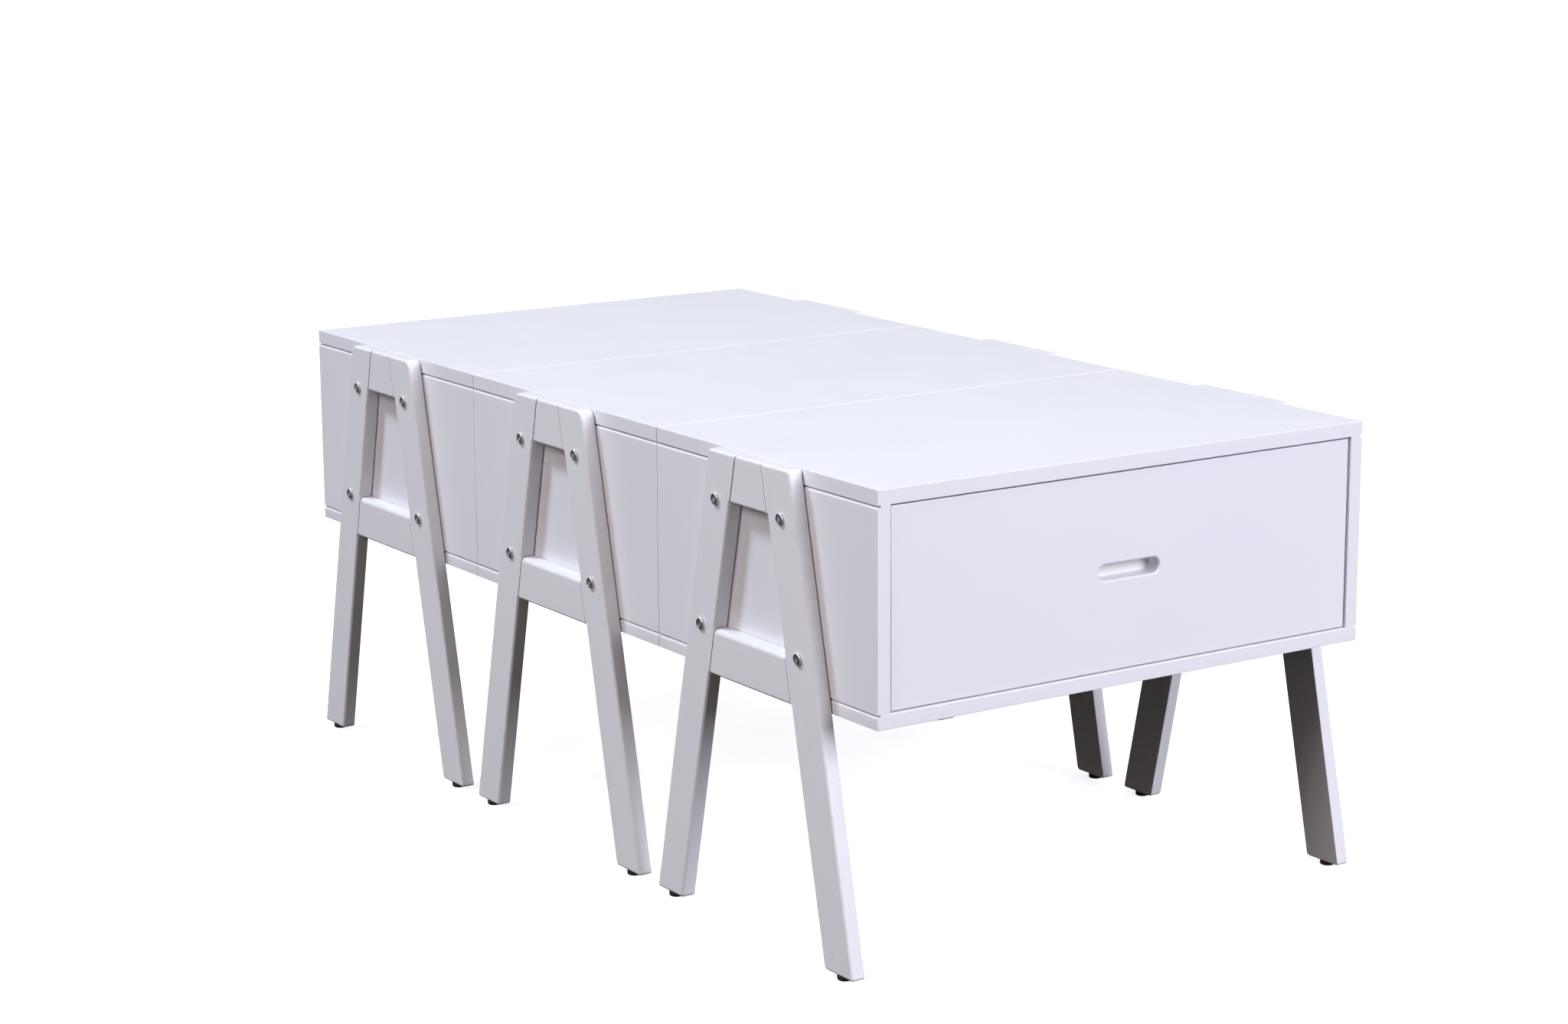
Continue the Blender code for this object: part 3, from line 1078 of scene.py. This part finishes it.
def place_drawer(table, step):
    body = f"{table}_drawer"
    for name, board in drawer.items():
        twin = shifted_copy(board, f"{table}_{name}_piece", step)
        if name == "drawer_front":
            finish_piece(twin, body, front_white, [f"{table}_drawer_front"])
        elif "screw" in name:
            finish_piece(twin, body, steel)
        else:
            coat = coat_along_y if "side" in name else coat_along_x
            finish_piece(twin, body, coat, [f"{table}_drawer_frame"])
    bottom = frame["nodes"][f"{table}_drawer_bottom"]
    bottom.data.materials.clear()
    bottom.data.materials.append(coat_along_x)


for table in TABLES:
    place_boards(table, step_to(table))
    place_drawer(table, step_to(table))

# %% [markdown]
# Legs, bolts and glides were shaped for the left front corner. Each goes to another
# corner by one mirror or two, and takes the finish that belongs there.

# %% A-frames on every table
def to_corner(piece, name, table, side, end):
    """A copy of a left front piece, mirrored to one corner of its table."""
    mirrors = []
    if end == "rear":
        mirrors.append((Y, middle_of(f"{table}_top_panel").y))
    if side == "right":
        mirrors.append((X, 0))
    twin = duplicate_as(piece, name)
    for axis, plane in mirrors:
        turned = mirrored_copy(twin, f"{name}_turned", axis, plane)
        bpy.data.objects.remove(twin)
        turned.name = turned.data.name = name
        twin = turned
    return twin


def place_frames(table, step):
    body = f"{table}_body"
    here_bolts = {height: shifted_copy(bolt, "bolt_here", step) for height, bolt in bolts.items()}
    here_glide = shifted_copy(glide, "glide_here", step)
    for side in SIDES:
        for end in ENDS:
            corner = f"{side}_{end}"
            leg = to_corner(legs[table], f"{table}_raked_leg_{corner}", table, side, end)
            finish_piece(leg, body, leg_white[end], [f"{table}_leg_{corner}"])
            foot = to_corner(here_glide, f"{table}_glide_{corner}", table, side, end)
            finish_piece(foot, body, plastic, [f"{table}_foot_{corner}"])
            for height, bolt in here_bolts.items():
                head = to_corner(bolt, f"{table}_bolt_{corner}_{height}", table, side, end)
                finish_piece(head, body, steel)
        for name, rail in rails.items():
            twin = shifted_copy(rail, "rail_here", step)
            piece = to_corner(twin, f"{table}_{name}_piece_{side}", table, side, "front")
            bpy.data.objects.remove(twin)
            finish_piece(piece, body, rail_white, [f"{table}_{name}_{side}"])
    for helper in (*here_bolts.values(), here_glide):
        bpy.data.objects.remove(helper)


for table in TABLES:
    place_frames(table, step_to(table))

for pattern in (*boards.values(), *drawer.values(), *legs.values(), *rails.values(), *bolts.values(), glide):
    bpy.data.objects.remove(pattern)

# %% [markdown]
# ## Floor and light
#
# The tables stand on a plain pale floor that glows a little, as a lit table for
# product pictures does, so shadows on it stay faint. Its rim is extruded up into far
# walls, so that there is a pale backdrop all round. Floor and walls send no light back,
# which keeps the inner faces of the legs as dark as they are under a real table top.

# %% Stage
FLOOR_SIZE = 120
WALL_HEIGHT = 60
FLOOR_COLOURS = (0.72, 0.72, 0.73), (0.70, 0.70, 0.71)
GLOW_COLOUR = (0.96, 0.98, 1, 1)
GLOW = 0.84


def pale_floor():
    recipe = Recipe("pale_floor", roughness=0.6)
    cloud = recipe.noise(0.8, detail=2)
    base = recipe.blend(recipe.remap(cloud, low=0.3, high=0.7), *FLOOR_COLOURS)
    recipe.connect(base, "Base Color")
    recipe.shader.inputs["Emission Color"].default_value = GLOW_COLOUR
    recipe.shader.inputs["Emission Strength"].default_value = GLOW
    return recipe.material


bpy.ops.object.select_all(action="DESELECT")
bpy.ops.mesh.primitive_plane_add(size=FLOOR_SIZE, location=(0, 0, frame_low.z))
floor = bpy.context.object
floor.name = floor.data.name = "floor"
bpy.ops.object.mode_set(mode="EDIT")
pick("EDGE", lambda e: e.is_boundary)
bpy.ops.mesh.extrude_edges_move(TRANSFORM_OT_translate={"value": (0, 0, WALL_HEIGHT)})
bpy.ops.mesh.select_all(action="SELECT")
bpy.ops.mesh.normals_make_consistent(inside=True)
bpy.ops.object.mode_set(mode="OBJECT")
floor.data.materials.append(pale_floor())
floor.visible_diffuse = False
floor.visible_glossy = False
floor.visible_shadow = False
print("studio", FLOOR_SIZE, "m wide with walls", WALL_HEIGHT, "m high")

# %% [markdown]
# A large soft light stands in front, a little to the right, and lights the drawer
# front. Another hangs high on the left, a little behind, and grazes the side, so each
# leg throws a soft shadow on the box. Two broad, weak ones fill in the left and the
# right side. The rest comes from the sky of the studio, which is pale above and dark
# below the horizon.

# %% Lights
def add_light(name, aim, towards, distance, size, power, colour):
    """A square light that shines along a direction on a point, from this far away."""
    direction = Vector(towards).normalized()
    bpy.ops.object.light_add(type="AREA", location=aim - direction * distance)
    light = bpy.context.object
    light.name = name
    light.rotation_euler = direction.to_track_quat("-Z", "Y").to_euler()
    light.data.size = size
    light.data.energy = power
    light.data.color = colour


table_top = Vector((0, 0, frame_high.z))
front_middle = Vector((0, frame_low.y, slot_middle.z))
add_light(
    "front_light",
    aim=front_middle,
    towards=(-0.24, 1.0, -0.42),
    distance=5.5,
    size=3.0,
    power=348,
    colour=(0.87, 0.885, 1.0),
)
add_light(
    "side_light",
    aim=table_top,
    towards=(16, -14, -28),
    distance=9.0,
    size=1.6,
    power=705,
    colour=(0.74, 0.87, 1.0),
)
add_light(
    "left_light",
    aim=front_middle,
    towards=(1.0, 0.1, -0.6),
    distance=5.0,
    size=2.0,
    power=98,
    colour=(1.0, 0.91, 0.90),
)
add_light(
    "right_light",
    aim=table_top,
    towards=(-1.0, -0.2, -0.2),
    distance=5.0,
    size=2.0,
    power=42,
    colour=(1.0, 0.95, 0.95),
)

SKY_COLOUR = (1.0, 0.85, 0.78, 1.0)
SKY_FADE = {
    "From Min": -0.05,  # height of the sky's dark end, where 1 is straight up
    "From Max": 0.5,  # height of its pale end
    "To Min": 0.03,  # strength at the dark end
    "To Max": 0.32,  # strength at the pale end
}

world = bpy.data.worlds.new("studio")
world.use_nodes = True
sky = world.node_tree
sky_direction = sky.nodes.new("ShaderNodeTexCoord").outputs["Generated"]
sky_height = sky.nodes.new("ShaderNodeSeparateXYZ")
sky.links.new(sky_direction, sky_height.inputs[0])
fade = sky.nodes.new("ShaderNodeMapRange")
sky.links.new(sky_height.outputs["Z"], fade.inputs["Value"])
for place, value in SKY_FADE.items():
    fade.inputs[place].default_value = value
background = sky.nodes["Background"]
background.inputs["Color"].default_value = SKY_COLOUR
sky.links.new(fade.outputs["Result"], background.inputs["Strength"])
bpy.context.scene.world = world
bpy.context.scene.view_settings.view_transform = "Standard"

# %% [markdown]
# ## Camera
#
# The camera looks across the near left corner from a little above the table tops,
# with a long lens, so the row keeps its proportions. Its direction is given by a
# compass angle from +Y, an angle below the horizon and a very small roll.

# %% Camera
CAMERA_PLACE = (-2.0058, -2.9805, 1.0898)
COMPASS = math.radians(33.704)
LOOK_DOWN = math.radians(12.064)
ROLL = math.radians(0.294)
LENS = 75.874

swing = Matrix.Rotation(-COMPASS, 3, "Z")
tilt = Matrix.Rotation(QUARTER - LOOK_DOWN, 3, "X")
lean = Matrix.Rotation(-ROLL, 3, "Z")
turn = swing @ tilt @ lean
bpy.ops.object.camera_add(location=CAMERA_PLACE, rotation=turn.to_euler())
camera = bpy.context.object
camera.name = "camera"
camera.data.lens = LENS
bpy.context.scene.camera = camera
